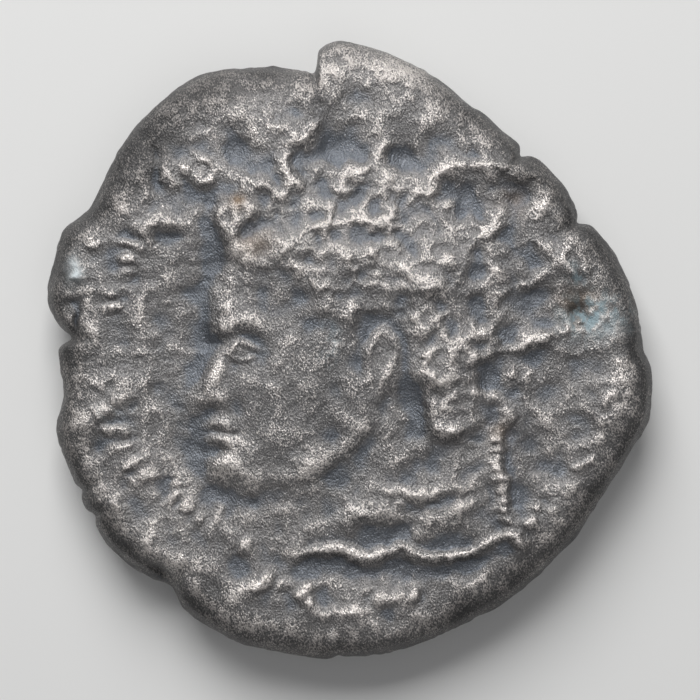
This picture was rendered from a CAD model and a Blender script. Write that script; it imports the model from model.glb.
# %% [markdown]
# # A worn tetradrachm
#
# This coin was a cast lump of billon, a silver alloy that is mostly copper. It was struck once between two
# dies, which raised a head on one side and a bird on the other, and squeezed the lump out to an uneven
# disc with a cracked edge. Wear then took the high points, and the ground ate at the rest.
#
# Each face is one height field on a disc, so the lesson builds it as a die cutter would: a flat flan
# first, then broad forms, then locks and folds, then the pits and crumbs of corrosion.

# %% Load the frame and keep its box
import math

import bmesh
import bpy
import numpy as np
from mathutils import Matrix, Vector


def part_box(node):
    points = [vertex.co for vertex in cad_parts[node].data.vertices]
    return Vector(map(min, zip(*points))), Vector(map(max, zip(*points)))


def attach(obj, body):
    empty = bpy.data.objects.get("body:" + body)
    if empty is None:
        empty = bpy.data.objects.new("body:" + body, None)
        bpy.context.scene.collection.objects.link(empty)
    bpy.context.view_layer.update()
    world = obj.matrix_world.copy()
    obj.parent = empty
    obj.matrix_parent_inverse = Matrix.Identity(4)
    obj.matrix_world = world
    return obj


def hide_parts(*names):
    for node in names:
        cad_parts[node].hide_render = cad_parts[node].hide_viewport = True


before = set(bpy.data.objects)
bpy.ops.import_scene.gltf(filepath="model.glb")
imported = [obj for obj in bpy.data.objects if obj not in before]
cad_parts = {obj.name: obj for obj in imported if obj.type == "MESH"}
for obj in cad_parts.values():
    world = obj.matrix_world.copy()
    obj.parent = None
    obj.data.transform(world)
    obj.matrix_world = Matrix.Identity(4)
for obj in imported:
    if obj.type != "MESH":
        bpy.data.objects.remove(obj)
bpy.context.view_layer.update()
lowest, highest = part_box("coin")
FLAN_HEIGHT = highest.y - lowest.y
COIN_HEIGHT = highest.z - lowest.z
print("flan", round(FLAN_HEIGHT * 1000, 2), "mm high, coin", round(COIN_HEIGHT * 1000, 2), "mm thick")

# %% [markdown]
# ## Sizes
# A coin's relief is shallow: the cheek stands half a millimetre above the field and a lock of hair a
# quarter. Each depth has its own name, because each was cut by its own tool. Places in the design are
# hundredths of half the flan's height, u to the right and v up the portrait, so the drawing can be read
# like a page of squared paper.

# %% Name the sizes
HUNDREDTH = FLAN_HEIGHT / 200
FLAN_THICKNESS = 0.0031
HEAD_RELIEF = 0.00056
LOCK_RELIEF = 0.00024
STROKE_RELIEF = 0.00018
CRUMB_RELIEF = 0.00005
EDGE_ROUND = 0.00110
EDGE_DROP = 0.00085
EDGE_BULGE = 0.00034
REVERSE_RELIEF = 0.00036
WORN_LEVEL = 0.00002
GRID_CUTS = 339
EDGE_CUTS = 11
TRIANGLES = 192000

# %% [markdown]
# ## The drawing tools
# Every mark on a die is a ridge, a mound or a flat with a soft edge. Blender could sculpt them by hand,
# but then nobody could change one later. Short functions that return a height for every place do the same
# and can be read. Each works on whole arrays at once, so a hundred thousand places take a blink.

# %% Lines, ridges, mounds and plateaus
def smooth_line(points, steps=5, closed=False):
    """A Catmull-Rom curve through points, with a number of steps from each to the next."""
    points = np.array(points, float)
    if closed:
        padded = np.vstack([points[-1:], points, points[:2]])
    else:
        padded = np.vstack([2 * points[0] - points[1], points, 2 * points[-1] - points[-2]])
    share = np.linspace(0, 1, steps, endpoint=False)[:, None]
    runs = []
    for before, start, end, after in zip(padded[:-3], padded[1:-2], padded[2:-1], padded[3:]):
        bend = 2 * before - 5 * start + 4 * end - after
        twist = 3 * start - before - 3 * end + after
        runs.append(start + 0.5 * ((end - before) * share + bend * share ** 2 + twist * share ** 3))
    line = np.vstack(runs)
    return line if closed else np.vstack([line, points[-1:]])


def nearest(u, v, line):
    """Each place's distance from a line, and the share of the line passed at its nearest spot."""
    lengths = np.hypot(*np.diff(line, axis=0).T)
    passed = np.concatenate([[0], np.cumsum(lengths)]) / lengths.sum()
    gap = np.full(u.shape, np.inf)
    share = np.zeros(u.shape)
    for start, end, low, high in zip(line[:-1], line[1:], passed[:-1], passed[1:]):
        run_u, run_v = end - start
        reach = ((u - start[0]) * run_u + (v - start[1]) * run_v) / (run_u ** 2 + run_v ** 2)
        reach = np.clip(reach, 0, 1)
        away = np.hypot(u - start[0] - reach * run_u, v - start[1] - reach * run_v)
        closer = away < gap
        gap = np.where(closer, away, gap)
        share = np.where(closer, low + reach * (high - low), share)
    return gap, share


def step(value, low, high):
    """0 below low, 1 above high, and a smooth rise between them."""
    share = np.clip((value - low) / (high - low), 0, 1)
    return share * share * (3 - 2 * share)


def welt(u, v, points, width):
    """A round-topped ridge along a smooth line, 1 high, that fades out at its two ends."""
    line = smooth_line(points)
    height = np.zeros(u.shape)
    reach = 3 * width
    low, high = line.min(axis=0) - reach, line.max(axis=0) + reach
    near = (u > low[0]) & (u < high[0]) & (v > low[1]) & (v < high[1])
    gap, share = nearest(u[near], v[near], line)
    ends = step(share, -0.15, 0.2) * step(1 - share, -0.15, 0.2)
    height[near] = ends * np.exp(-(gap / width) ** 2)
    return height


def mound(u, v, middle, half_sizes, tilt=0):
    """A smooth rise, 1 high, over an oval turned by tilt degrees."""
    turn = math.radians(tilt)
    across = (u - middle[0]) * math.cos(turn) + (v - middle[1]) * math.sin(turn)
    along = (v - middle[1]) * math.cos(turn) - (u - middle[0]) * math.sin(turn)
    return np.exp(-(across / half_sizes[0]) ** 2 - (along / half_sizes[1]) ** 2)


def plateau(u, v, points, shoulder):
    """1 inside a closed outline and 0 outside it, with a soft shoulder between."""
    line = smooth_line(points, 4, closed=True)
    ring = np.vstack([line, line[:1]])
    gap, _ = nearest(u, v, ring)
    crossings = np.zeros(u.shape, int)
    for (start_u, start_v), (end_u, end_v) in zip(ring[:-1], ring[1:]):
        if start_v == end_v:
            continue
        spanned = (start_v > v) != (end_v > v)
        met = start_u + (v - start_v) * (end_u - start_u) / (end_v - start_v)
        crossings += spanned & (u < met)
    signed = np.where(crossings % 2 == 1, gap, -gap)
    return step(signed, -shoulder / 2, shoulder / 2)


# %% [markdown]
# ## Chance, kept in hand
# Corrosion looks random, but a script should give the same coin each time. A table of seeded numbers on a
# square lattice, blended smoothly between its corners, gives both. Nudging the places themselves by it,
# before a ridge is looked up, breaks the ridge's edge the way eaten metal breaks. Bowls around chance
# middles give what wear leaves between locks: smooth scoops that meet in bright, sharp crests.

# %% Smooth noise, scoops and ragged ridges
def rough(u, v, cell, seed):
    """Smooth chance heights from -1 to 1 on a square lattice, cell hundredths wide."""
    size = 241
    chances = np.random.default_rng(seed).uniform(-1, 1, (size, size))
    column, row = np.floor(u / cell).astype(int), np.floor(v / cell).astype(int)
    right, up = step(u / cell - column, 0, 1), step(v / cell - row, 0, 1)
    left_side, right_side = column % size, (column + 1) % size
    low = chances[row % size, left_side] * (1 - right) + chances[row % size, right_side] * right
    high = chances[(row + 1) % size, left_side] * (1 - right) + chances[(row + 1) % size, right_side] * right
    return low * (1 - up) + high * up


def scoops(u, v, cell, seed):
    """Shallow bowls that meet in crests, cell hundredths wide: 0 at a bowl's middle, about 1 on a crest."""
    size = 97
    aside, above = np.random.default_rng(seed).uniform(0.1, 0.9, (2, size, size))
    column, row = np.floor(u / cell).astype(int), np.floor(v / cell).astype(int)
    gap = np.full(u.shape, np.inf)
    for over in (-1, 0, 1):
        for up in (-1, 0, 1):
            spot = (row + up) % size, (column + over) % size
            middle_u = cell * (column + over + aside[spot])
            middle_v = cell * (row + up + above[spot])
            gap = np.minimum(gap, np.hypot(u - middle_u, v - middle_v))
    return np.minimum(1, (gap / (0.75 * cell)) ** 2)


def ragged(u, v, reach):
    """Places nudged by chance, so that what is carved there has the broken edges of eaten metal."""
    coarse, fine = 4.2, 1.7
    aside = rough(u, v, coarse, 21) + 0.5 * rough(u, v, fine, 22)
    above = rough(u, v, coarse, 23) + 0.5 * rough(u, v, fine, 24)
    return u + reach * aside, v + reach * above


def worn_ridge(u, v, points, width):
    """A ridge as wear leaves it, 1 high: a broad swelling with a thin, broken crest."""
    whole = 0.4 + 0.6 * step(rough(u, v, 2.6, 36), -0.5, 0.4)
    return 0.62 * welt(u, v, points, 2.1 * width) + 0.38 * whole * welt(u, v, points, 0.9 * width)


# %% [markdown]
# ## The flan
# Nobody filed a provincial flan round. This one has a lip at the top where the metal spread past the die,
# a straight run at the lower right, and cracks where the cold edge split. Its outline is a handful of
# hand-read places joined by a smooth curve, and each crack is a narrow dip in the radius.

# %% The flan's outline
FLAN_OUTLINE = (
    (0, 100), (14, 96), (28, 88), (40, 79), (51, 70), (57, 64), (62, 61), (68, 55), (72, 49), (75, 43),
    (79, 40), (84, 34), (90, 23), (93, 15), (95, 6), (95, 0), (98, -7), (98, -19), (96, -25), (91, -34),
    (83, -46), (73, -61), (59, -75), (43, -86), (21, -96), (0, -100), (-12, -100), (-33, -96), (-49, -88),
    (-65, -74), (-78, -64), (-87, -49), (-94, -31), (-95, -24), (-93, -13), (-95, 0), (-93, 5), (-98, 16),
    (-96, 27), (-93, 38), (-85, 45), (-79, 56), (-75, 65), (-65, 77), (-49, 89), (-31, 92), (-12, 91),
    (-11, 96), (-6, 100),
)
# angle and half width in degrees, depth in hundredths
EDGE_CRACKS = ((48.6, 1.0, 2.2), (29.2, 1.1, 2.0), (177.6, 1.5, 2.6), (233.0, 2.6, 2.8), (213.0, 1.2, 1.6),
               (207.6, 1.0, 1.4), (268.0, 1.0, 1.2), (97.6, 0.8, 1.0))


def flan_radii():
    """The outline's radius at each half degree, in hundredths."""
    line = smooth_line(FLAN_OUTLINE, 8, closed=True)
    angles = np.degrees(np.arctan2(line[:, 1], line[:, 0])) % 360
    order = np.argsort(angles)
    every = np.arange(0, 360, 0.5)
    radii = np.interp(every, angles[order], np.hypot(*line[order].T), period=360)
    for angle, half_width, depth in EDGE_CRACKS:
        off = (every - angle + 180) % 360 - 180
        radii -= depth * np.exp(-(off / half_width) ** 2)
    return every, radii


FLAN_RADII = flan_radii()
print("flan radius from", round(FLAN_RADII[1].min(), 1), "to", round(FLAN_RADII[1].max(), 1), "hundredths")


# %% [markdown]
# ## The face
# The portrait's place and tilt follow the coin, but the face is a plain drawing-school one: brow, nose base
# and chin stand at equal steps down from the hairline, and the brow and chin touch one plumb line. It is
# raised as mounds and ridges on a flat head, which is how a die cutter works too, only inside out.

# %% The head's outlines
HAIRLINE, FACE_THIRD = 30, 24
BROW = HAIRLINE - FACE_THIRD
NOSE_BASE = BROW - FACE_THIRD
CHIN = NOSE_BASE - FACE_THIRD
FACE_FRONT = -43

HEAD_OUTLINE = (
    (-38, 49), (-41, 43), (-40, 34), (FACE_FRONT + 2, 24), (FACE_FRONT, 14), (FACE_FRONT - 1, BROW),
    (FACE_FRONT + 2, BROW - 4), (FACE_FRONT - 2, BROW - 11), (FACE_FRONT - 6, NOSE_BASE + 3),
    (FACE_FRONT - 4, NOSE_BASE), (FACE_FRONT, NOSE_BASE - 2), (FACE_FRONT - 2, NOSE_BASE - 6),
    (FACE_FRONT + 1, NOSE_BASE - 8), (FACE_FRONT - 1, NOSE_BASE - 11), (FACE_FRONT + 2, NOSE_BASE - 14),
    (FACE_FRONT - 1, CHIN + 5), (FACE_FRONT + 1, CHIN + 1), (FACE_FRONT + 7, CHIN - 2),
    (-28, -46), (-24, -54), (-17, -66), (-5, -64), (8, -67), (16, -64), (28, -67), (41, -63), (53, -60),
    (50, -48), (48, -34), (47, -20), (42, -10), (45, 0), (50, 18), (49, 32), (42, 43), (29, 53), (12, 60),
    (-8, 62), (-24, 59),
)
HAIR_OUTLINE = (
    (-39, 47), (-40, 36), (-36, 31), (-28, 29), (-18, 27), (-10, 20), (-4, 12), (0, 8), (8, 11), (16, 9),
    (19, -4), (24, -16), (29, -27), (38, -27), (45, -17), (44, -6), (48, 6), (51, 20), (48, 34), (40, 45),
    (28, 53), (12, 60), (-8, 62), (-25, 58),
)
NECK_OUTLINE = (
    (-30, -45), (-16, -42), (3, -30), (11, -15), (20, -10), (30, -28), (50, -26), (54, -60), (41, -66),
    (16, -68), (-17, -69),
)
MOAT = ((-43, 46), (-45, 30), (-49, 4), (-55, -16), (-49, -34), (-40, -48), (-27, -56))


# %% The modelling of the face
def face_form(u, v):
    """The modelling of the face and neck, as a share of HEAD_RELIEF."""
    brow = welt(u, v, ((FACE_FRONT + 1, BROW), (FACE_FRONT + 8, BROW + 3), (FACE_FRONT + 17, BROW + 1)), 2.6)
    socket = mound(u, v, (FACE_FRONT + 9, BROW - 6), (7, 5))
    ball = mound(u, v, (FACE_FRONT + 8, BROW - 6.5), (3.6, 2.4))
    corner = (FACE_FRONT + 4, BROW - 7)
    upper_lid = welt(u, v, (corner, (FACE_FRONT + 8, BROW - 3.5), (FACE_FRONT + 14, BROW - 6)), 1)
    lower_lid = welt(u, v, (corner, (FACE_FRONT + 8, BROW - 9.5), (FACE_FRONT + 13, BROW - 8)), 0.9)
    nose = (FACE_FRONT + 3, BROW - 2), (FACE_FRONT, BROW - 12), (FACE_FRONT - 3, NOSE_BASE + 4)
    bridge = welt(u, v, nose, 3)
    nostril = mound(u, v, (FACE_FRONT + 1, NOSE_BASE + 3), (3, 2.4))
    upper_lip = mound(u, v, (FACE_FRONT + 2, NOSE_BASE - 6), (4, 1.7), 10)
    lower_lip = mound(u, v, (FACE_FRONT + 2, NOSE_BASE - 11), (3.4, 1.8), -10)
    mouth = welt(u, v, ((FACE_FRONT, NOSE_BASE - 8.4), (FACE_FRONT + 8, NOSE_BASE - 9)), 0.9)
    chin = mound(u, v, (FACE_FRONT + 4, CHIN + 5), (5, 4.5))
    cheek = mound(u, v, (FACE_FRONT + 22, NOSE_BASE + 4), (15, 13))
    jaw = welt(u, v, ((-30, -43), (-14, -39), (3, -28), (11, -14)), 4)
    neck = plateau(u, v, NECK_OUTLINE, 6)
    muscle = welt(u, v, ((14, -20), (8, -40), (-4, -60)), 5)
    ear = welt(u, v, ((7, -12), (6, -2), (10, 6), (15, 1), (13, -7), (9, -13)), 1.7)
    raised = 0.22 * brow + 0.28 * ball + 0.24 * upper_lid + 0.14 * lower_lid + 0.3 * bridge
    raised += 0.2 * nostril + 0.16 * upper_lip
    raised += 0.16 * lower_lip + 0.2 * chin + 0.26 * cheek + 0.12 * jaw + 0.15 * muscle + 0.22 * ear
    return raised - 0.24 * socket - 0.16 * mouth - 0.3 * neck


def head_form(u, v):
    """The whole head and bust, as a share of HEAD_RELIEF."""
    body = plateau(u, v, HEAD_OUTLINE, 10)
    doming = 0.6 * mound(u, v, (2, 4), (46, 56))
    hair = plateau(u, v, HAIR_OUTLINE, 12)
    moat = welt(u, v, MOAT, 7)
    sunk = 1 - 0.8 * step(v + 0.15 * u, 24, 62)
    sunk *= 1 - 0.7 * step(u + 0.2 * v, 26, 56)
    return sunk * (body * (0.42 + doming + face_form(u, v)) + 0.2 * hair) - 0.15 * moat * (1 - body)


# %% [markdown]
# ## Hair, crown and cloth
# The locks are what wear has left of thick curls: short welts, bright along their tops. The bold ones are
# placed one by one, because their places give the head its character. The rest fill in by rule, in rows of
# small curls round the crown of the head. Each table row is a line, its half width and its share of the
# lock's height.

# %% Bold locks and the crown's rays
HAIR_LOCKS = (
    (((-41, 47), (-40, 41), (-37, 36)), 1.8, 0.9),
    (((-36, 30), (-28, 28), (-19, 27), (-12, 22), (-5, 13)), 2.3, 0.8),
    (((-5, 23), (-4, 28), (2, 31), (11, 28), (21, 23)), 2.2, 1.0),
    (((-23, 37), (-20, 31)), 2.0, 0.9),
    (((-17, 34), (-13, 39), (-6, 40)), 2.0, 1.0),
    (((1, 44), (5, 41), (10, 41), (13, 44)), 1.7, 0.9),
    (((22, 33), (25, 29), (30, 28), (33, 30)), 1.7, 0.8),
    (((22, 25), (27, 20), (32, 24)), 1.7, 0.8),
    (((27, 11), (31, 4), (35, 3), (39, 5)), 1.9, 1.0),
    (((23, 0), (27, -4), (31, -4), (36, -1)), 1.9, 1.0),
    (((36, -3), (42, -3), (46, 0)), 1.6, 0.7),
    (((41, 6), (46, 7), (49, 12)), 1.6, 0.7),
    (((24, -7), (28, -10), (34, -9)), 1.6, 0.8),
    (((26, -16), (30, -18), (35, -15)), 1.6, 0.8),
    (((27, -24), (31, -27), (37, -26)), 1.6, 0.8),
)
CROWN_RAYS = (
    (((-35, 55), (-27, 53), (-22, 49), (-18, 48)), 1.8, 0.9),
    (((-25, 71), (-18, 69), (-21, 59), (-15, 52)), 1.9, 1.1),
    (((-10, 73), (-17, 66)), 1.7, 0.8),
    (((11, 67), (7, 59), (-2, 55), (-3, 48)), 1.9, 1.0),
    (((25, 49), (31, 57), (42, 59), (56, 58)), 1.8, 1.1),
    (((50, 59), (60, 56), (63, 49), (60, 43)), 1.8, 0.9),
    (((48, 43), (45, 38), (39, 33)), 1.7, 0.9),
)
# middle, half sizes and share of each smooth hollow
CROWN_HOLLOWS = (
    ((-5, 66), (9, 6), 1.3), ((-37, 64), (4, 6), 0.8), ((17, 61), (5, 5), 0.9), ((38, 49), (6, 7), 0.9),
    ((55, 49), (5, 6), 0.9), ((-31, 39), (5, 4), 1.0), ((-39, 43), (2, 4), 0.6), ((-57, 37), (4, 3), 0.5),
    ((27, 8), (3, 4), 0.5), ((7, 7), (4, 7), 0.4), ((62, 14), (9, 7), 0.4), ((54, -12), (4, 4), 0.6),
)


# %% Small curls in rows
def combed(u, v):
    """Locks that fill the hair between the bold ones, in rows of short curls around the crown."""
    height = np.zeros(u.shape)
    for row, radius in enumerate((18, 26, 34, 42, 50)):
        count = round(radius / 3.6)
        for index in range(count):
            angle = math.radians(5 + 165 * (index + 0.5 * (row % 2)) / count)
            middle_u, middle_v = 4 + radius * math.cos(angle), 6 + radius * math.sin(angle)
            turn = angle + math.radians(50 if row % 2 else 110)
            curl = [(middle_u + 4.5 * side * math.cos(turn) - bow * math.sin(turn),
                     middle_v + 4.5 * side * math.sin(turn) + bow * math.cos(turn))
                    for side, bow in ((-1, 1), (-0.4, -1.4), (0.5, -1.4), (1, 1))]
            height += welt(u, v, curl, 1.6)
    return height


# %% Ribbon, folds and worn edges around the head
NECK_RIBBON = ((48, -25), (48, -37), (49, -46), (51, -54), (54, -65))
BUST_CUT = ((-17, -66), (-5, -64), (6, -67), (16, -64), (26, -67), (40, -64), (50, -59))
BACK_FOLDS = (
    (((58, 36), (67, 31), (73, 23)), 1.9, 1.0),
    (((71, 37), (75, 31), (77, 24)), 1.6, 0.8),
    (((46, 3), (50, -1), (60, 3), (72, 6)), 1.8, 1.1),
    (((50, -7), (54, -10), (60, -6)), 1.7, 1.0),
    (((46, 29), (49, 21), (52, 18)), 1.5, 0.6),
    (((55, 20), (58, 21), (62, 24)), 1.0, 0.6),
    (((43, -17), (47, -15), (54, -24)), 1.7, 0.9),
    (((8, -48), (15, -50), (22, -46), (34, -44)), 2.6, 0.8),
)
SHOULDER_FOLDS = (
    (((8, -77), (12, -80), (18, -80), (22, -77)), 1.7, 0.9),
    (((-16, -78), (-9, -84), (5, -84)), 1.8, 0.9),
)
FIELD_RIDGES = (
    (((-70, 41), (-66, 39), (-61, 42), (-57, 40), (-53, 39)), 1.7, 1.1),
    (((-68, 39), (-62, 34)), 1.2, 0.6),
    (((-50, 57), (-47, 54), (-44, 56)), 1.3, 0.9),
    (((-65, 70), (-63, 62), (-62, 57), (-61, 50)), 1.3, -0.8),
    (((-75, -18), (-71, -14), (-68, -13)), 2.4, 1.0),
    (((-82, -22), (-77, -18)), 1.6, 1.0),
    (((-89, 18), (-88, 9), (-90, 3)), 1.5, -1.5),
    (((-96, 27), (-92, 24)), 1.2, -1.2),
    (((-88, 28), (-88, 22)), 1.8, 1.3),
    (((-84, 35), (-81, 33)), 1.2, 0.6),
    (((-76, -49), (-73, -52)), 0.8, 0.6),
)


def drapery(u, v):
    """Folds of cloth that lie over the shoulder, each a little above the last."""
    height = np.zeros(u.shape)
    for fold in range(1, 3):
        lift = 7 * fold
        line = ((-8 + 7 * fold, -59 + lift), (6 + 6 * fold, -60 + lift), (26, -61 + lift), (45, -54 + lift))
        height += welt(u, v, line, 2.4)
    return height


def carving(u, v, lines):
    """Ridges from a table of places, half width and share, as a share of LOCK_RELIEF."""
    height = np.zeros(u.shape)
    for points, width, share in lines:
        height += share * worn_ridge(u, v, points, width)
    return height


# %% [markdown]
# ## The legend's place
# Letters once ran round the edge. Here rows of plain strokes keep their place, rhythm and wear, and spell
# nothing: in each row the strokes stand side by side, and their lengths and leans repeat in threes.

# %% Rows of strokes
LEGEND_ROWS = (
    (78, 126, 138, 3, 20), (77, 152, 172, 5, 15), (79, 197, 214, 4, -15), (72, 217, 244, 6, 20),
    (79, 247, 262, 3, -30), (84, 352, 326, 5, 60), (81, 323, 309, 3, 35),
)
LEGEND_STROKE = 4.4
STROKE_SHARES = ((1, 0), (0.6, 9), (0.85, -7))


def legend_row(u, v, radius, first, last, count, lean):
    """A row of plain short strokes, side by side, where a legend would run round the edge."""
    height = np.zeros(u.shape)
    for index in range(count):
        share, own_lean = STROKE_SHARES[index % 3]
        around = math.radians(first + (last - first) * (index + 0.5) / count)
        turn = around + math.radians(lean + own_lean)
        length = LEGEND_STROKE * share
        stroke = [(radius * math.cos(around) + side * length * math.cos(turn),
                   radius * math.sin(around) + side * length * math.sin(turn)) for side in (-1, 1)]
        height += welt(u, v, stroke, 1.9)
    return height


# %% [markdown]
# ## Corrosion
# Buried silver-copper alloy doesn't wear evenly. The copper leaches out and the skin turns crumbly where
# salts sat, while rubbed places stay smooth. A map of grainy patches says where the skin is crumbly, and
# noise at three sizes raises the crumbs there. Small pits are the low tails of such noise, and the few
# deep ones are placed one by one.

# %% Grainy patches, crumbs and pits
GRAINY = (
    ((-38, 80), (22, 8), 0.7), ((14, 50), (26, 10), 1.0), ((4, 36), (34, 18), 0.8),
    ((-60, -45), (22, 22), 0.8), ((-24, -52), (22, 16), 0.6), ((15, -50), (11, 6), 1.0),
    ((32, -46), (13, 7), 0.9), ((10, -76), (30, 8), 0.8), ((-56, 40), (14, 5), 0.8),
    ((-74, -16), (8, 6), 1.0), ((78, 10), (9, 8), 1.2), ((30, 0), (14, 12), 0.7), ((14, 90), (26, 10), 0.9),
    ((44, -40), (8, 26), 0.5), ((70, -34), (14, 20), 0.4), ((-30, 62), (14, 10), 0.5),
)
# middle, half sizes and tilt, then share, of each single pit and chip
PITS = (
    (((73, 12), (3, 3), 0), 1), (((-61, -72), (5, 3), -40), 2.5), (((-4, 94), (4, 3), 0), 0.5),
    (((-88, -48), (3, 2), 0), 0.8),
)


def graininess(u, v):
    """How crumbly the skin is at each place, from about 0.25 on rubbed metal to 1."""
    grain = np.zeros(u.shape)
    for middle, half_sizes, share in GRAINY:
        grain = np.maximum(grain, share * mound(u, v, middle, half_sizes))
    return 0.25 + 0.75 * np.clip(grain + 0.25 * rough(u, v, 11, 30), 0, 1)


def crumbs(u, v):
    """Crumbs and pits of the corroded skin, from about -1 to 1."""
    lumps = 0.4 * rough(u, v, 3.3, 31) + 0.4 * rough(u, v, 1.8, 32) + 0.35 * rough(u, v, 1.0, 33)
    pits = np.maximum(0, rough(u, v, 2.6, 34) - 0.5) + np.maximum(0, rough(u, v, 1.5, 35) - 0.6)
    return lumps - 1.6 * pits


def flow_lines(u, v):
    """Fine drawn lines: level ones in the field before the face, slanting ones on the smooth skin."""
    field = mound(u, v, (-66, 5), (18, 30)) * rough(u / 5, v, 0.9, 38)
    skin = mound(u, v, (-8, -18), (26, 26)) * rough((u + v) / 6, u - v, 1.6, 39)
    return field + skin


# %% The whole obverse
def obverse_height(u, v):
    """Height of the portrait side above its field."""
    broken_u, broken_v = ragged(u, v, 0.9)
    face_u, face_v = ragged(u, v, 0.35)
    hair = plateau(u, v, HAIR_OUTLINE, 6)
    cheek = 0.7 * mound(u, v, (-20, -15), (26, 30))
    beads = 1 + 0.15 * np.sin(1.9 * v + 2.5 * rough(u, v, 6, 44)) + 0.3 * rough(u, v, 2.2, 44)
    ribbon = beads * welt(broken_u, broken_v, NECK_RIBBON, 2.6)
    tables = HAIR_LOCKS + CROWN_RAYS + BACK_FOLDS + SHOULDER_FOLDS + FIELD_RIDGES
    locks = carving(broken_u, broken_v, tables)
    locks += 0.25 * hair * combed(broken_u, broken_v) + 0.9 * ribbon
    locks += 0.5 * hair * scoops(broken_u, broken_v, 6.5, 41)
    small_scoops = 0.4 * scoops(broken_u, broken_v, 11, 42) + 0.18 * scoops(broken_u, broken_v, 5, 43)
    locks += (1 - cheek) * small_scoops
    locks += 1.1 * welt(broken_u, broken_v, BUST_CUT, 1.9) + 0.5 * drapery(broken_u, broken_v)
    for middle, half_sizes, share in CROWN_HOLLOWS:
        locks -= share * mound(u, v, middle, half_sizes)
    swell = 0.35 * rough(u, v, 17, 3) + 0.2 * rough(u + 5, v - 3, 8, 4) + 0.15 * rough(u, v, 4.5, 5)
    pit = sum(share * mound(u, v, *place) for place, share in PITS)
    legend = sum(legend_row(*ragged(u, v, 1.1), *row) for row in LEGEND_ROWS)
    legend *= 0.35 + 0.65 * step(rough(u, v, 7, 61), -0.4, 0.3)
    height = HEAD_RELIEF * head_form(face_u, face_v) + LOCK_RELIEF * (locks + swell - 1.4 * pit)
    eaten = mound(u, v, (76, 10), (9, 6)) * rough(broken_u, broken_v, 1.7, 37)
    skin = graininess(u, v) * crumbs(u, v) + 0.25 * flow_lines(u, v) + 2 * eaten
    return height + STROKE_RELIEF * legend + CRUMB_RELIEF * skin


# %% [markdown]
# ## The reverse
# The photograph shows one side only. The other keeps the kind's usual plan in a plainer hand: a bird with
# folded wings in a ring of strokes. Its high parts are worn to one level, and the coin lies on them.

# %% The bird and its ring
BIRD_OUTLINE = (
    (-3, 60), (-9, 60), (-16, 55), (-10, 52), (-13, 43), (-20, 30), (-21, 14), (-14, -4), (-6, -18),
    (-2, -30), (12, -34), (24, -50), (33, -48), (29, -34), (31, -18), (26, 4), (17, 26), (7, 42), (3, 54),
)
BIRD_LEGS = (((-7, -16), (-11, -46)), ((5, -26), (4, -46)))
BIRD_PERCH = ((-34, -48), (-8, -49), (18, -56), (36, -58))
FEATHERS = 5
FEATHER_STEP = 4.2
REVERSE_STROKES = 26
REVERSE_RADIUS = 77


def bird(u, v):
    """The reverse's bird, over 1 where it is worn level with the table, as seen from below."""
    body = 1.15 * plateau(u, v, BIRD_OUTLINE, 5)
    grooves = welt(u, v, ((-11, 40), (-3, 42), (4, 38)), 1.4)
    for index in range(FEATHERS):
        aside = FEATHER_STEP * (index - 1.5)
        feather = ((1 + 0.9 * aside, 30 + 0.4 * aside), (11 + 0.8 * aside, 2), (25 + 0.4 * aside, -32))
        grooves += welt(u, v, feather, 1.3)
    stance = sum(welt(u, v, leg, 2.8) for leg in BIRD_LEGS)
    stance = np.maximum(0.8 * stance, welt(u, v, BIRD_PERCH, 3.4))
    return np.maximum(body - 0.5 * grooves, stance)


def reverse_height(u, v):
    """Height of the reverse above its field: a plain bird in a ring of strokes."""
    broken_u, broken_v = ragged(u, v, 0.6)
    strokes = legend_row(-broken_u, broken_v, REVERSE_RADIUS, 0, 360, REVERSE_STROKES, 15)
    relief = np.maximum(bird(-broken_u, broken_v), 1.08 * strokes)
    return REVERSE_RELIEF * (relief + 0.1 * rough(u, v, 13, 9)) + 0.5 * CRUMB_RELIEF * crumbs(u, v)


# %% [markdown]
# ## From a cube to a coin
# A flat grid bent round a disc pinches at its corners, and a disc of rings pinches at its middle. A cut
# cube does neither: its square faces map to discs with no seam, and its four sides become the edge. The
# relief needs the facets where it is busy, so the mesh starts far too fine and Decimate thins it.
# Rings grow rounder towards the middle, so that no dent of the outline runs inwards as a seam, and the
# wall between the faces bulges unevenly, as cast and hammered metal does.

# %% Map a square grid to the flan
def disc_places(across, along):
    """The share of the radius and the angle in degrees where each place of a square grid lands."""
    wide = np.abs(across) > np.abs(along)
    major = np.where(wide, across, along)
    minor = np.where(wide, along, across)
    turn = 45 * minor / np.where(major == 0, 1, major)
    angle = np.where(wide, turn, 90 - turn) + np.where(major < 0, 180, 0)
    return np.abs(major), angle % 360


def shoulder_drop(u, v):
    """How far a face has fallen at each place on its rounded edge shoulder."""
    edge = np.interp(np.degrees(np.arctan2(v, u)) % 360, *FLAN_RADII, period=360)
    start = edge - (EDGE_BULGE + EDGE_ROUND) / HUNDREDTH
    share = 0.85 * np.clip((np.hypot(u, v) - start) * HUNDREDTH / EDGE_ROUND, 0, 1)
    return EDGE_DROP * (1 - np.sqrt(1 - share ** 2))


# %% Cut the cube
def cut_cube():
    """A cube with finely cut faces, as a bmesh."""
    mesh = bmesh.new()
    bmesh.ops.create_cube(mesh, size=2)
    upright = [edge for edge in mesh.edges if abs(edge.verts[0].co.z - edge.verts[1].co.z) > 1]
    bmesh.ops.subdivide_edges(mesh, edges=upright, cuts=EDGE_CUTS, use_grid_fill=True)
    level = [edge for edge in mesh.edges if abs(edge.verts[0].co.z - edge.verts[1].co.z) < 0.01]
    bmesh.ops.subdivide_edges(mesh, edges=level, cuts=GRID_CUTS, use_grid_fill=True)
    return mesh


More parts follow.
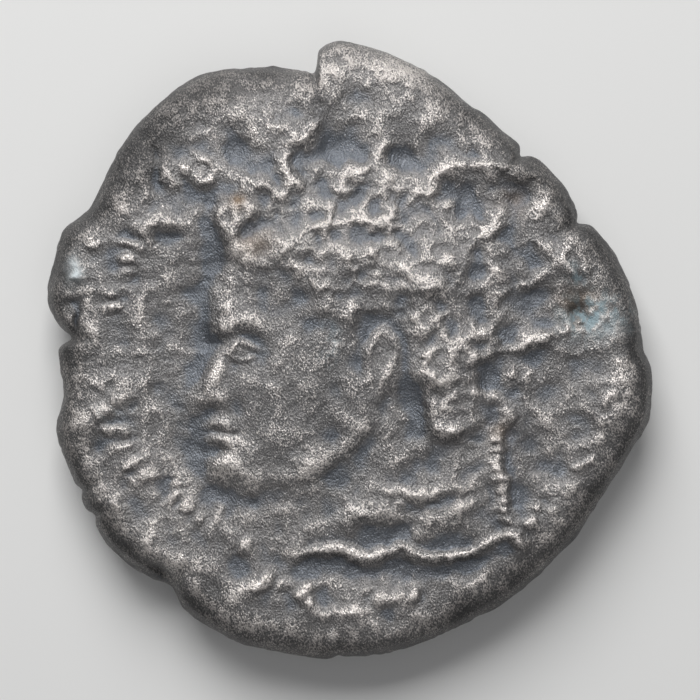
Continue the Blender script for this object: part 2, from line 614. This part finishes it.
# %% Draw the cube out to the coin
def strike(mesh):
    """Moves the cut cube's vertices to the flan, with both faces' relief."""
    grid = np.array([vertex.co[:] for vertex in mesh.verts])
    share, angle = disc_places(grid[:, 0], grid[:, 1])
    rise = grid[:, 2]
    bulge = EDGE_BULGE / HUNDREDTH * np.where(share > 0.9999, np.cos(rise * math.pi / 2), 0)
    bulge *= 1 + 0.2 * rough(angle, 8 * rise, 5, 46) + 0.1 * rough(angle, 8 * rise, 1.5, 47)
    even = FLAN_RADII[1].mean()
    reach = even + (np.interp(angle, *FLAN_RADII, period=360) - even) * share ** 3
    inner = (reach - EDGE_BULGE / HUNDREDTH) * share
    turn_u, turn_v = np.cos(np.radians(angle)), np.sin(np.radians(angle))
    face_u, face_v = inner * turn_u, inner * turn_v
    fall = shoulder_drop(face_u, face_v)
    calm = 1 - 0.7 * np.clip(fall / EDGE_DROP, 0, 1)
    top, bottom = np.zeros(len(grid)), np.zeros(len(grid))
    upper, lower = rise > -0.9999, rise < 0.9999
    top[upper] = FLAN_THICKNESS - fall[upper]
    top[upper] += calm[upper] * obverse_height(face_u[upper], face_v[upper])
    bottom[lower] = (REVERSE_RELIEF + fall)[lower]
    bottom[lower] -= calm[lower] * reverse_height(face_u[lower], face_v[lower])
    bottom = np.maximum(bottom, 0)
    z = bottom + (top - bottom) * (rise + 1) / 2
    u, v = face_u + bulge * turn_u, face_v + bulge * turn_v
    scale = FLAN_HEIGHT / np.ptp(v)
    x = scale * (u - (u.min() + u.max()) / 2)
    y = scale * (v - (v.min() + v.max()) / 2)
    for vertex, place in zip(mesh.verts, np.round(np.column_stack([x, y, z]), 7)):
        vertex.co = place
    bmesh.ops.recalc_face_normals(mesh, faces=mesh.faces)


# %% Thin the mesh and rest it on its worn tops
def struck_coin():
    """The coin as an object, thinned to TRIANGLES and worn flat where it touches the table."""
    mesh = cut_cube()
    strike(mesh)
    data = bpy.data.meshes.new("struck_coin")
    mesh.to_mesh(data)
    mesh.free()
    coin = bpy.data.objects.new("struck_coin", data)
    bpy.context.collection.objects.link(coin)
    thin = coin.modifiers.new("thin", "DECIMATE")
    thin.ratio = TRIANGLES / (2 * len(data.polygons))
    view = bpy.context.evaluated_depsgraph_get()
    coin.data = bpy.data.meshes.new_from_object(coin.evaluated_get(view))
    coin.modifiers.clear()
    for vertex in coin.data.vertices:
        if vertex.co.z < WORN_LEVEL:
            vertex.co.z = 0
    coin.data.shade_smooth()
    return coin


coin = struck_coin()
print("coin:", len(coin.data.polygons), "faces")

# %% [markdown]
# ## Wear, hollows and stains
# Fingers polish what stands proud and dirt settles in what lies low. Both can be read off the mesh: a
# vertex above the average of its neighbourhood is a crest, one below it a hollow. The averages are
# taken by passing heights along the mesh's own edges, and are kept as attributes for the material to
# read. The rim was never rubbed, so it keeps a darker tone of its own.

# %% Measure crests, hollows and the rim
NEAR_ROUNDS, WIDE_ROUNDS = 4, 30
CREST_RISE, FORM_RISE = 0.00002, 0.00006
RIM_WIDTH = 14


def neighbourhood(values, edges, rounds):
    """Each vertex's value averaged with its neighbours', a number of times over."""
    counts = np.bincount(edges.ravel(), minlength=len(values)) + 1
    for _ in range(rounds):
        sums = np.bincount(edges[:, 0], values[edges[:, 1]], len(values))
        sums += np.bincount(edges[:, 1], values[edges[:, 0]], len(values))
        values = (values + sums) / counts
    return values


def keep(mesh, name, values):
    """Keeps one number for each vertex as an attribute."""
    layer = mesh.attributes.new(name, "FLOAT", "POINT")
    layer.data.foreach_set("value", np.asarray(values, np.float32))


def rim_tone(u, v, facing):
    """How dark the rim is toned at each place: widest at the upper left, least on the lip at the top."""
    edge = np.interp(np.degrees(np.arctan2(v, u)) % 360, *FLAN_RADII, period=360)
    inset = edge - np.hypot(u, v) + 2.5 * rough(u, v, 9, 40)
    inset /= 1 + 0.9 * mound(u, v, (-64, 66), (24, 24))
    lip = mound(u, v, (18, 96), (34, 14))
    return (0.9 - 0.55 * lip) * (0.45 + 0.55 * facing) * (1 - step(inset, 0, RIM_WIDTH))


places = np.empty(len(coin.data.vertices) * 3)
coin.data.vertices.foreach_get("co", places)
places = places.reshape(-1, 3)
edges = np.empty(len(coin.data.edges) * 2, int)
coin.data.edges.foreach_get("vertices", edges)
edges = edges.reshape(-1, 2)
side = np.where(places[:, 2] > COIN_HEIGHT / 2, 1, -1)
outward = places[:, 2] * side
normals = np.empty(len(coin.data.vertices) * 3)
coin.data.vertex_normals.foreach_get("vector", normals)
facing = np.abs(normals[2::3])
near = neighbourhood(outward, edges, NEAR_ROUNDS)
wide = neighbourhood(near, edges, WIDE_ROUNDS)
keep(coin.data, "crest", facing * np.clip((outward - near) / CREST_RISE, -1, 1))
keep(coin.data, "height", facing * np.clip((near - wide) / FORM_RISE, -1, 1))
design_u, design_v = places[:, 0] / HUNDREDTH, places[:, 1] / HUNDREDTH
keep(coin.data, "grain", graininess(design_u, design_v))
keep(coin.data, "edge", rim_tone(design_u, design_v, facing))

# %% Stains
# middle, half sizes and strength of each patch
GREEN_CRUST = (
    ((78, 11), (9, 6), 1.0), ((72, 24), (3, 3), 0.6), ((-77, -20), (4, 2), 0.3), ((-6, 2), (3, 7), 0.3),
)
PALE_CRUST = (((-88, 25), (2.2, 4), 1.0), ((82, 8), (6, 4), 0.5))
BROWN_STAIN = (
    ((-36, 47), (3, 3), 1.0), ((-30, 34), (5, 4), 0.5), ((48, -26), (4, 4), 0.5), ((53, 48), (4, 4), 0.5),
    ((73, 15), (6, 5), 0.7),
)


def patches(u, v, table):
    """The strongest of a table's soft patches at each place."""
    strength = np.zeros(u.shape)
    for middle, half_sizes, share in table:
        strength = np.maximum(strength, share * mound(u, v, middle, half_sizes))
    return strength


stain_u, stain_v = ragged(design_u, design_v, 1.2)
keep(coin.data, "green", patches(stain_u, stain_v, GREEN_CRUST))
keep(coin.data, "pale", patches(stain_u, stain_v, PALE_CRUST))
keep(coin.data, "brown", patches(stain_u, stain_v, BROWN_STAIN))
print("attributes:", [layer.name for layer in coin.data.attributes])

# %% [markdown]
# ## The metal
# Toned billon is grey with a faint blue in the hollows, where a thin oxide sits, and pinkish white where
# wear has just cut through to fresh alloy. Fresh alloy shows as crumbs under a tenth of a millimetre
# across, so a fine noise is mixed with the crests to pick them out, and the same noise drives the bump.

# %% Small helpers for nodes
def node(tree, kind, **settings):
    """A new node with its settings."""
    made = tree.nodes.new(kind)
    for name, value in settings.items():
        setattr(made, name, value)
    return made


def attribute(tree, name):
    """The socket of a vertex attribute kept on the mesh."""
    return node(tree, "ShaderNodeAttribute", attribute_name=name).outputs["Fac"]


def math_node(tree, operation, first, second, clamp=False):
    """One sum on two sockets or numbers."""
    made = node(tree, "ShaderNodeMath", operation=operation, use_clamp=clamp)
    for socket, value in zip(made.inputs, (first, second)):
        if isinstance(value, (int, float)):
            socket.default_value = value
        else:
            tree.links.new(value, socket)
    return made.outputs[0]


def tint(tree, factor, under, over):
    """A colour over another, as far as the factor says."""
    made = node(tree, "ShaderNodeMix", data_type="RGBA")
    tree.links.new(factor, made.inputs[0])
    for socket, value in zip((made.inputs[6], made.inputs[7]), (under, over)):
        if isinstance(value, tuple):
            socket.default_value = (*value, 1)
        else:
            tree.links.new(value, socket)
    return made.outputs[2]


def noise(tree, place, size, detail=2.0, coarseness=0.5):
    """Noise whose lumps are about size metres across, 0 to 1."""
    made = node(tree, "ShaderNodeTexNoise")
    made.inputs["Scale"].default_value = 1 / size
    made.inputs["Detail"].default_value = detail
    made.inputs["Roughness"].default_value = coarseness
    tree.links.new(place, made.inputs["Vector"])
    return made.outputs["Fac"]


def ramp(tree, value, low, high):
    """A value stretched so that low becomes 0 and high becomes 1."""
    made = node(tree, "ShaderNodeMapRange", interpolation_type="SMOOTHSTEP")
    made.inputs["From Min"].default_value = low
    made.inputs["From Max"].default_value = high
    tree.links.new(value, made.inputs["Value"])
    return made.outputs["Result"]


# %% Toned billon
SPECK, FLECK, RUB, CLOUD = 0.000075, 0.0004, 0.0011, 0.003
BUMP_DEPTH = 0.00008
DRAWN_TURN = math.radians(38)


def toned_billon():
    """Grey toned metal, bright on worn crumbs and blue in the hollows."""
    material = bpy.data.materials.new("toned_billon")
    material.use_nodes = True
    tree = material.node_tree
    shader = tree.nodes["Principled BSDF"]
    place = node(tree, "ShaderNodeTexCoord").outputs["Object"]
    crest, height = attribute(tree, "crest"), attribute(tree, "height")
    grain = attribute(tree, "grain")
    grained = node(tree, "ShaderNodeMapping")
    grained.inputs["Rotation"].default_value = (0, 0, DRAWN_TURN)
    grained.inputs["Scale"].default_value = (1.25, 0.85, 1)
    tree.links.new(place, grained.inputs["Vector"])
    drawn = grained.outputs["Vector"]
    speck = noise(tree, drawn, SPECK, 3, 0.55)
    fleck = noise(tree, drawn, FLECK, 3)
    rubbed = noise(tree, place, RUB, 3)
    cloud = noise(tree, place, CLOUD, 4)

    worn = math_node(tree, "MULTIPLY", crest, 0.11)
    worn = math_node(tree, "ADD", worn, math_node(tree, "MULTIPLY", height, 0.20))
    worn = math_node(tree, "ADD", worn, math_node(tree, "MULTIPLY", grain, 0.14))
    fresh = math_node(tree, "ADD", math_node(tree, "MULTIPLY", speck, 1.3), worn)
    fresh = math_node(tree, "ADD", fresh, math_node(tree, "MULTIPLY", fleck, 0.30))
    fresh = math_node(tree, "ADD", fresh, math_node(tree, "MULTIPLY", rubbed, 0.45))
    rim = attribute(tree, "edge")
    fresh = math_node(tree, "SUBTRACT", fresh, math_node(tree, "MULTIPLY", rim, 0.12))
    fresh = ramp(tree, fresh, 1.13, 1.47)

    skin = math_node(tree, "ADD", speck, math_node(tree, "MULTIPLY", grain, 0.30))
    skin = math_node(tree, "ADD", skin, math_node(tree, "MULTIPLY", cloud, 0.25))
    tone = tint(tree, ramp(tree, skin, 0.45, 1.0), (0.13, 0.128, 0.129), (0.33, 0.32, 0.313))
    hollow = ramp(tree, math_node(tree, "MULTIPLY", height, -1.0), 0.15, 0.9)
    tone = tint(tree, math_node(tree, "MULTIPLY", hollow, 0.6), tone, (0.13, 0.155, 0.19))
    tone = tint(tree, fresh, tone, (0.80, 0.745, 0.705))
    tone = tint(tree, math_node(tree, "MULTIPLY", attribute(tree, "brown"), 0.75), tone, (0.20, 0.13, 0.07))
    tone = tint(tree, rim, tone, (0.02, 0.02, 0.021))
    crusty = ramp(tree, fleck, 0.40, 0.62)
    green = math_node(tree, "MULTIPLY", attribute(tree, "green"), crusty)
    tone = tint(tree, green, tone, (0.20, 0.30, 0.34))
    tone = tint(tree, attribute(tree, "pale"), tone, (0.55, 0.60, 0.62))
    tree.links.new(tone, shader.inputs["Base Color"])

    crust = math_node(tree, "MAXIMUM", green, attribute(tree, "pale"))
    metal = math_node(tree, "SUBTRACT", 0.85, math_node(tree, "MULTIPLY", crust, 0.85), clamp=True)
    tree.links.new(metal, shader.inputs["Metallic"])
    gloss = math_node(tree, "ADD", math_node(tree, "MULTIPLY", fleck, 0.12), 0.33)
    gloss = math_node(tree, "ADD", gloss, math_node(tree, "MULTIPLY", crust, 0.3), clamp=True)
    gloss = math_node(tree, "SUBTRACT", gloss, math_node(tree, "MULTIPLY", fresh, 0.08))
    gloss = math_node(tree, "ADD", gloss, math_node(tree, "MULTIPLY", rim, 0.2))
    tree.links.new(gloss, shader.inputs["Roughness"])

    grit = math_node(tree, "ADD", math_node(tree, "MULTIPLY", grain, 0.3), 0.7)
    surface = math_node(tree, "MULTIPLY", speck, grit)
    surface = math_node(tree, "ADD", surface, math_node(tree, "MULTIPLY", fleck, 0.5))
    bump = node(tree, "ShaderNodeBump")
    bump.inputs["Strength"].default_value = 1.0
    bump.inputs["Distance"].default_value = BUMP_DEPTH
    tree.links.new(surface, bump.inputs["Height"])
    tree.links.new(bump.outputs["Normal"], shader.inputs["Normal"])
    return material


coin.data.materials.clear()
coin.data.materials.append(toned_billon())
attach(coin, "root")
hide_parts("coin")

# %% [markdown]
# ## The studio
# A coin is shot from straight above with one broad light low from the top of the picture, so that every
# ridge has a lit upper side and a dark lower one. A weak light from the other side keeps the shadows open.
# The floor is plain and pale.

# %% Floor, lights and camera
FLOOR_SIZE = 0.6
FRAME_WIDTH = 0.0280
LENS, SENSOR = 150, 36


def plain_floor():
    """A pale floor under the coin."""
    bpy.ops.mesh.primitive_plane_add(size=FLOOR_SIZE)
    floor = bpy.context.object
    floor.name = "floor"
    paint = bpy.data.materials.new("pale_floor")
    paint.use_nodes = True
    paint.node_tree.nodes["Principled BSDF"].inputs["Base Color"].default_value = (0.72, 0.72, 0.71, 1)
    paint.node_tree.nodes["Principled BSDF"].inputs["Roughness"].default_value = 0.8
    floor.data.materials.append(paint)


def soft_light(name, azimuth, elevation, distance, size, power):
    """A square softbox that points at the coin. Azimuth 0 stands at the top of the picture."""
    lamp = bpy.data.lights.new(name, "AREA")
    lamp.size = size
    lamp.energy = power
    box = bpy.data.objects.new(name, lamp)
    around, above = math.radians(azimuth), math.radians(elevation)
    box.location = (distance * math.sin(around) * math.cos(above),
                    distance * math.cos(around) * math.cos(above), distance * math.sin(above))
    box.rotation_mode = "QUATERNION"
    box.rotation_quaternion = box.location.to_track_quat("Z", "Y")
    bpy.context.collection.objects.link(box)


def overhead_camera():
    """A long lens that looks straight down on the coin."""
    camera = bpy.data.cameras.new("camera")
    camera.lens = LENS
    camera.sensor_width = SENSOR
    camera.clip_start = 0.01
    stand = bpy.data.objects.new("camera", camera)
    stand.location = (0, 0, FLAN_THICKNESS + FRAME_WIDTH * LENS / SENSOR)
    bpy.context.collection.objects.link(stand)
    bpy.context.scene.camera = stand


plain_floor()
soft_light("key_light", -12, 42, 0.25, 0.17, 0.76)
soft_light("fill_light", 150, 65, 0.30, 0.25, 0.10)
overhead_camera()
world = bpy.context.scene.world or bpy.data.worlds.new("world")
bpy.context.scene.world = world
world.use_nodes = True
world.node_tree.nodes["Background"].inputs["Color"].default_value = (0.16, 0.16, 0.165, 1)
bpy.context.scene.view_settings.view_transform = "Standard"
